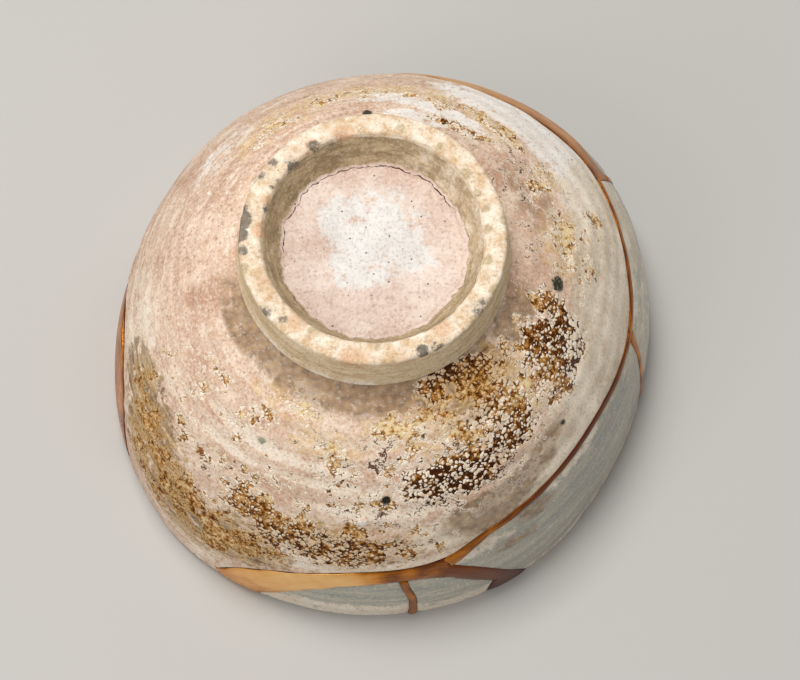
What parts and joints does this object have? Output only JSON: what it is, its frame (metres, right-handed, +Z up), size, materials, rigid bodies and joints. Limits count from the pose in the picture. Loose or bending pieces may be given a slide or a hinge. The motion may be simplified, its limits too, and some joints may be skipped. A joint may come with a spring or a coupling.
{
  "type": "tea bowl",
  "caption": "Stoneware tea bowl, stored mouth down with its turned foot ring up, its broken rim put together again with lacquer fills, joints and gold seams.",
  "frame": {"origin": "middle of the rim's plane, which is the surface that the bowl stands on mouth down, as in the picture", "axes": "+Z up from the rim to the foot, +X to the right and -Y towards the viewer in the picture; turn it half over about X to use it as a bowl"},
  "size_m": [0.1272, 0.1279, 0.076],
  "materials": {
    "stoneware": "matte",
    "celadon_glaze": "satin",
    "gold": "satin",
    "lacquer": "satin"
  },
  "bodies": {
    "root": {"body": "stoneware", "shard_front_left": "celadon_glaze", "shard_front_middle": "celadon_glaze", "shard_front_right": "celadon_glaze", "shard_right": "celadon_glaze", "shard_far": "celadon_glaze", "front_fill": "lacquer", "front_fill_gold_outside": "gold", "front_fill_gold_inside": "gold", "left_fill": "lacquer", "left_fill_gold_outside": "gold", "left_fill_gold_inside": "gold", "front_seam_lacquer": "lacquer", "front_seam_gold_outside": "gold", "front_seam_gold_inside": "gold", "right_seam_lacquer": "lacquer", "right_seam_gold_outside": "gold", "right_seam_gold_inside": "gold", "far_seam_lacquer": "lacquer", "far_seam_gold_outside": "gold", "far_seam_gold_inside": "gold", "front_crack_lacquer": "lacquer", "front_crack_gold_outside": "gold", "front_crack_gold_inside": "gold", "right_crack_lacquer": "lacquer", "right_crack_gold_outside": "gold", "right_crack_gold_inside": "gold", "far_crack_lacquer": "lacquer", "far_crack_gold_outside": "gold", "far_crack_gold_inside": "gold"}
  },
  "joints": []
}
